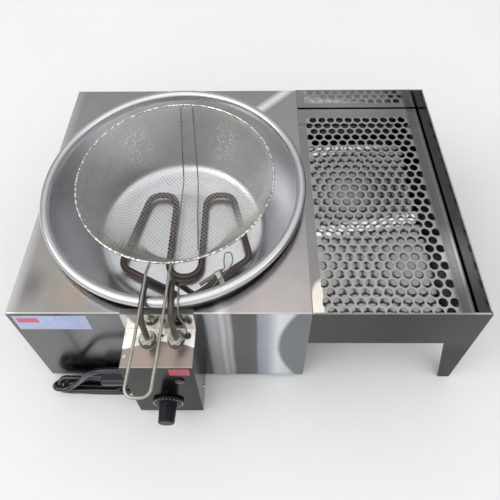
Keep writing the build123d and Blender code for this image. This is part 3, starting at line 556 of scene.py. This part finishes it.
def rating_print(t, tone):
    """A red block and rows of blue bars on the rating label, without any lettering."""
    x, y, z = t.axes()
    block = t.both(t.between(x, -190, -161, 0.6), t.between(z, -26, -12, 0.6))
    bars = t.both(t.between(x, -154, -104, 1.0), t.spread(t.noise(420.0, (1, 1, 0.2), 1.0), 0.46, 0.52))
    rows = t.math("SINE", t.math("MULTIPLY", z, 0.78))
    bars = t.both(t.both(bars, t.spread(rows, 0.1, 0.5)), t.between(z, -42, -12, 1.0))
    tone = t.mix(t.math("MULTIPLY", bars, 0.55), tone, rgb(0.16, 0.26, 0.50))
    return t.mix(block, tone, rgb(0.50, 0.10, 0.16))


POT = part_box("frying_pot")
POT_AXIS = (POT[0] + POT[1]) / 2
# The pot's rim is painted darker, as shade, from RIM_DEPTH below its top.
RIM_DEPTH = 0.013                   # the pot is darker from this far below its top
RING_Z = 20.0                       # centre line of the basket's ring, in the casing's frame, in millimetres

LOOK = {
    "dial_print": plastic("dial_print", (0.50, 0.50, 0.47), 0.5),
    "casing_steel": sheet_steel("casing_steel", casing_painted_light, 0.20, (40, 40, 1), gleam=0.12),
    "tray_steel": sheet_steel("tray_steel", tray_painted_light, 0.09, (1, 40, 40), edge=0.7),
    "pan_steel": sheet_steel("pan_steel", pan_painted_light, 0.06, (40, 1, 40), 0.02, 0.0008),
    "box_steel": sheet_steel("box_steel", box_painted_light, 0.16, (40, 1, 1), edge=0.7),
    "pot_aluminium": spun_aluminium("pot_aluminium", (0.785, 0.795, 0.815), POT_AXIS,
                                   POT[1].z - RIM_DEPTH),
    "bright_metal": wire_metal("bright_metal", (0.58, 0.58, 0.54), 0.18, 150.0),
    # Painted glints along the basket's ring.
    "wire_steel": wire_metal("wire_steel", (0.42, 0.405, 0.37), 0.28, 160.0, ring=RING_Z),
    # Painted glints on the cloth's back wall.
    "mesh_steel": wire_metal("mesh_steel", (0.54, 0.53, 0.50), 0.26, 160.0,
                             glint_spots=[((-78, 310, -26), (36, 34, 56)), ((70, 316, -22), (34, 34, 54))]),
    "element_steel": wire_metal("element_steel", (0.125, 0.100, 0.090), 0.36, 70.0, (0.07, 0.055, 0.05)),
    "bulb_copper": wire_metal("bulb_copper", (0.30, 0.28, 0.25), 0.32, 110.0),
    "rubber_black": plastic("rubber_black", (0.022, 0.022, 0.023), 0.55),
    "gasket_green": plastic("gasket_green", (0.075, 0.095, 0.07), 0.7, 600.0, 0.0002),
    "knob_black": plastic("knob_black", (0.004, 0.005, 0.008), 0.38, 900.0, 0.00005, shine=0.22),
    "lamp_dark": plastic("lamp_dark", (0.030, 0.010, 0.010), 0.35),
    "lamp_red": plastic("lamp_red", (0.10, 0.006, 0.010), 0.25, 300.0, 0.0001, 0.4),
    "terminal_cream": plastic("terminal_cream", (0.62, 0.57, 0.46), 0.5),
    "wire_insulation": plastic("wire_insulation", (0.50, 0.45, 0.36), 0.7, 2500.0, 0.0002),
    "cord_black": plastic("cord_black", (0.010, 0.011, 0.018), 0.28, 500.0, 0.00008, 0.2),
    "plug_brass": wire_metal("plug_brass", (0.72, 0.55, 0.26), 0.22, 140.0),
    "label_white": plastic("label_white", (0.42, 0.49, 0.74), 0.35, paint=rating_print),
    "label_red": plastic("label_red", (0.42, 0.035, 0.07), 0.4),
}


def dress(obj, look):
    """Gives an object one material."""
    obj.data.materials.clear()
    obj.data.materials.append(look)


for part in frame["record"]["subparts"]:
    dress(nodes[part["node"]], LOOK[part["material_slot"]])
dress(cord, LOOK["cord_black"])


# ---------------------------------------------------------------- basket's handle and seam
def wire_curve(name, points, radius):
    """A round wire through a polyline's points."""
    data = bpy.data.curves.new(name, "CURVE")
    data.dimensions = "3D"
    data.bevel_depth = 1.0
    data.bevel_resolution = 4
    data.use_fill_caps = True
    spline = data.splines.new("POLY")
    spline.points.add(len(points) - 1)
    for slot, place in zip(spline.points, points):
        slot.co = (*place, 1.0)
        slot.radius = radius
    return link(bpy.data.objects.new(name, data))


def rounded(points, radii, steps=10):
    """A polyline with each inner corner replaced by an arc of a given radius."""
    path = [Vector(points[0])]
    for before, here, after, radius in zip(points, points[1:], points[2:], radii):
        before, here, after = Vector(before), Vector(here), Vector(after)
        back, ahead = (before - here).normalized(), (after - here).normalized()
        half = back.angle(ahead) / 2
        reach = radius / math.tan(half)
        centre = here + (back + ahead).normalized() * (radius / math.sin(half))
        first = (here + back * reach - centre).normalized()
        last = (here + ahead * reach - centre).normalized()
        path += [centre + first.slerp(last, step / steps) * radius for step in range(steps + 1)]
    return path + [Vector(points[-1])]


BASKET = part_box("basket_mesh")
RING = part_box("basket_ring")
BASKET_AXIS = (BASKET[0] + BASKET[1]) / 2
HANDLE_R = 2.0
HANDLE_ROUTE = [                    # from the ring out and back, in the casing's frame, in millimetres
    (-16.0, 63.2, RING_Z), (-15.0, 38.0, 38.2), (-17.0, -50.0, 37.2), (-20.5, -110.0, 34.2),
    (9.5, -110.0, 34.2), (13.0, -50.0, 37.2), (15.0, 38.0, 38.2), (12.5, 62.3, RING_Z),
]
HANDLE_BENDS = [10, 200, 11, 11, 200, 10]
handle_line = rounded([in_case(*p) for p in HANDLE_ROUTE], [r * MM for r in HANDLE_BENDS])
handle = wire_curve("basket_handle_wire", handle_line, HANDLE_R * MM)
dress(handle, LOOK["wire_steel"])
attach(handle, "basket")
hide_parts("basket_handle")


# ---------------------------------------------------------------- basket's wire cloth
CLOTH_PITCH = 0.0052
CLOTH_WIRE_R = 0.00036
CLOTH_FLOOR_R = 0.0800
CLOTH_CORNER = 0.0120               # round between the floor and the wall, along the cloth
# The cloth lies a little inside the CAD mesh's box and ends just over the ring's underside.
CLOTH_RIM_R = (BASKET[1].x - BASKET[0].x) / 2 - 0.0008
CLOTH_LOW = BASKET[0].z + 0.0009
CLOTH_TOP = RING[0].z + 0.0010
WEAVE_RISE = 0.9                    # share of a wire's radius by which it goes over or under another
WALL_IN, WALL_LOSS = 0.86, 0.5      # on the wall: the share of it that goes inwards, and that the rise loses


def cloth_profile(run):
    """Radius and height of the bowl at a length along the cloth from its middle."""
    wall = math.hypot(CLOTH_RIM_R - CLOTH_FLOOR_R, CLOTH_TOP - CLOTH_LOW)
    slope = np.array([(CLOTH_RIM_R - CLOTH_FLOOR_R) / wall, (CLOTH_TOP - CLOTH_LOW) / wall])
    out = np.clip(run - CLOTH_FLOOR_R, 0.0, None)
    blend = np.clip((run - CLOTH_FLOOR_R + CLOTH_CORNER) / (2 * CLOTH_CORNER), 0.0, 1.0)
    soft = CLOTH_CORNER * blend ** 2                      # eases the floor into the wall
    rise = np.where(run < CLOTH_FLOOR_R + CLOTH_CORNER, soft, out)
    return run - rise + rise * slope[0], CLOTH_LOW + rise * slope[1]


CLOTH_RUN = CLOTH_FLOOR_R + math.hypot(CLOTH_RIM_R - CLOTH_FLOOR_R, CLOTH_TOP - CLOTH_LOW)


def wire_tubes(name, lines, radius, sides):
    """One mesh of thin round wires along polylines."""
    angles = np.arange(sides) * 2 * math.pi / sides
    points, faces = [], []
    for line in lines:
        line = np.asarray(line, float)
        ahead = np.gradient(line, axis=0)
        ahead /= np.linalg.norm(ahead, axis=1)[:, None]
        side = np.cross(ahead, (0.0, 0.0, 1.0)) + 1e-9
        side /= np.linalg.norm(side, axis=1)[:, None]
        up = np.cross(side, ahead)
        rings = (line[:, None] + radius * (np.cos(angles)[None, :, None] * side[:, None]
                                           + np.sin(angles)[None, :, None] * up[:, None]))
        first = len(points)
        points += rings.reshape(-1, 3).tolist()
        for ring in range(len(line) - 1):
            for k in range(sides):
                a, b = first + ring * sides + k, first + ring * sides + (k + 1) % sides
                faces.append((a, b, b + sides, a + sides))
        last = first + (len(line) - 1) * sides
        faces.append(tuple(first + k for k in reversed(range(sides))))
        faces.append(tuple(last + k for k in range(sides)))
    data = bpy.data.meshes.new(name)
    data.from_pydata(points, [], faces)
    data.polygons.foreach_set("use_smooth", [True] * len(data.polygons))
    return link(bpy.data.objects.new(name, data))


def cloth_wires(direction):
    """The wires of the cloth that run one way, weaving over and under the others."""
    lines = []
    count = int(CLOTH_RUN / CLOTH_PITCH)
    for row in range(-count, count + 1):
        off = row * CLOTH_PITCH
        half = math.sqrt(max(0.0, CLOTH_RUN ** 2 - off ** 2))
        steps = int(half / CLOTH_PITCH)
        if steps < 2:
            continue
        cross = np.arange(-steps, steps + 1)
        run = cross * CLOTH_PITCH
        run[0], run[-1] = -half, half
        u, v = (run, np.full(len(run), off)) if direction == 0 else (np.full(len(run), off), run)
        reach, turn = np.hypot(u, v), np.arctan2(v, u) + math.pi / 4
        radius, height = cloth_profile(reach)
        sign = np.where((cross + row) % 2 == direction, 1.0, -1.0) * CLOTH_WIRE_R * WEAVE_RISE
        slope = np.clip((reach - CLOTH_FLOOR_R) / CLOTH_CORNER, 0, 1)
        radius, height = radius - sign * WALL_IN * slope, height + sign * (1 - WALL_LOSS * slope)
        lines.append(np.stack([BASKET_AXIS.x + radius * np.cos(turn), BASKET_AXIS.y + radius * np.sin(turn),
                               height], axis=1))
    return lines


for way, piece_name in enumerate(("basket_warp_wires", "basket_weft_wires")):
    wires = wire_tubes(piece_name, cloth_wires(way), CLOTH_WIRE_R, 4)
    dress(wires, LOOK["mesh_steel"])
    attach(wires, "basket")
    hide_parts("basket_mesh")

# Two edges of the doubled strip of cloth: from the ring's back down the wall and over the floor, in mm.
SEAM_EDGES = [((-4.0, 365.0), (-5.0, 150.0)), ((17.0, 364.5), (33.0, 150.0))]
SEAM_R = 0.0011
SEAM_IN, SEAM_UP = 0.0016, 0.0009   # how far the edges lie inside and above the cloth
bowl_radius, bowl_height = cloth_profile(np.linspace(0.0, CLOTH_RUN, 200))
for number, (back_end, front_end) in enumerate(SEAM_EDGES):
    line = []
    for share in np.linspace(0.0, 1.0, 70):
        place = in_case(*[a + (b - a) * share for a, b in zip(back_end, front_end)], 0.0)
        reach = math.hypot(place.x - BASKET_AXIS.x, place.y - BASKET_AXIS.y)
        inwards = 1.0 - SEAM_IN / max(reach, 0.02)
        line.append(Vector((BASKET_AXIS.x + (place.x - BASKET_AXIS.x) * inwards,
                            BASKET_AXIS.y + (place.y - BASKET_AXIS.y) * inwards,
                            float(np.interp(reach, bowl_radius, bowl_height)) + SEAM_UP)))
    seam = wire_curve(f"basket_seam_{number}", line, SEAM_R)
    dress(seam, LOOK["bulb_copper"])
    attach(seam, "basket")
    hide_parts("basket_mesh")

# ---------------------------------------------------------------- ticks on the dial
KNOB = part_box("thermostat_knob")
KNOB_AXIS = (KNOB[0] + KNOB[1]) / 2
TICKS, FIRST_TICK, TICK_STEP = 21, -240.0, 15.0         # the last two in degrees
TICK_R = 0.0205                     # from the knob's axis
TICK_BACK = 0.00345                 # from the back of the knob
TICK_SLOPE = math.radians(-32)      # about the slope of the dial's skirt
TICK_LONG, TICK_THICK, TICK_NARROW, TICK_WIDE = 0.0032, 0.0006, 0.0006, 0.0011
DIAL = Matrix.Translation((KNOB_AXIS.x, KNOB[1].y - TICK_BACK, KNOB_AXIS.z))
ticks = bpy.data.meshes.new("dial_ticks")
shape = bmesh.new()
for number in range(TICKS):
    angle = math.radians(TICK_STEP * number + FIRST_TICK)
    wide = TICK_WIDE if number % 5 == 0 else TICK_NARROW
    place = DIAL @ Matrix.Rotation(angle, 4, "Y")
    place = place @ Matrix.Translation((TICK_R, 0, 0)) @ Matrix.Rotation(TICK_SLOPE, 4, "Z")
    size = Matrix.Diagonal((TICK_LONG, TICK_THICK, wide, 1))
    bmesh.ops.create_cube(shape, size=1.0, matrix=place @ size)
shape.to_mesh(ticks)
shape.free()
tick_marks = link(bpy.data.objects.new("dial_ticks", ticks))
dress(tick_marks, LOOK["dial_print"])
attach(tick_marks, "knob")

# ---------------------------------------------------------------- floor, light and sky
FLOOR_HALF = 9.0
floor_mesh = bpy.data.meshes.new("floor")
corners = [(x * FLOOR_HALF, y * FLOOR_HALF, TABLE_Z) for x, y in ((-1, -1), (1, -1), (1, 1), (-1, 1))]
floor_mesh.from_pydata(corners, [], [(0, 1, 2, 3)])
floor = link(bpy.data.objects.new("floor", floor_mesh))
pale = Tree("pale_floor")
pale.surface(Base_Color=pale.mix(pale.noise(3.0), grey(0.68), grey(0.72)), Roughness=0.8)
dress(floor, pale.material)

SKY_BASE = 0.45
# Bright ways in the sky: direction, the cosines where each starts and is full, and what it adds.
SKY_GLOWS = [
    ((0.0, -0.35, 0.94), 0.25, 1.0, 1.15),
    ((-0.78, -0.12, 0.61), 0.90, 0.97, 1.4),
    ((0.80, -0.30, 0.52), 0.93, 0.98, 0.8),
]


def studio_sky():
    """A soft room: bright overhead and in front, dim behind, with two softly edged windows."""
    world = bpy.data.worlds.new("studio")
    bpy.context.scene.world = world
    world.use_nodes = True
    tree = world.node_tree
    tree.nodes.clear()
    out = tree.nodes.new("ShaderNodeOutputWorld")
    sky = tree.nodes.new("ShaderNodeBackground")
    way = tree.nodes.new("ShaderNodeTexCoord").outputs["Generated"]
    level = None
    for direction, start, full, gain in SKY_GLOWS:
        aim = tree.nodes.new("ShaderNodeVectorMath")
        aim.operation = "DOT_PRODUCT"
        aim.inputs[1].default_value = Vector(direction).normalized()
        tree.links.new(way, aim.inputs[0])
        rise = tree.nodes.new("ShaderNodeMapRange")
        for socket, value in zip(("From Min", "From Max", "To Min", "To Max"), (start, full, 0.0, gain)):
            rise.inputs[socket].default_value = value
        tree.links.new(aim.outputs["Value"], rise.inputs["Value"])
        total = tree.nodes.new("ShaderNodeMath")
        total.inputs[1].default_value = SKY_BASE
        tree.links.new(rise.outputs[0], total.inputs[0])
        if level is not None:
            tree.links.new(level, total.inputs[1])
        level = total.outputs[0]
    tree.links.new(level, sky.inputs["Color"])
    tree.links.new(sky.outputs[0], out.inputs["Surface"])


def softbox(name, place, aim, size, power):
    """A rectangular area light that faces a point."""
    data = bpy.data.lights.new(name, "AREA")
    data.shape = "RECTANGLE"
    data.size, data.size_y = size
    data.energy = power
    lamp = link(bpy.data.objects.new(name, data))
    lamp.location = place
    lamp.rotation_euler = (Vector(aim) - Vector(place)).to_track_quat("-Z", "Y").to_euler()


studio_sky()
softbox("key", (-1.7, -1.0, 2.3), (0, 0, 0.15), (2.2, 1.8), 17.0)
bpy.context.scene.view_settings.view_transform = "Standard"
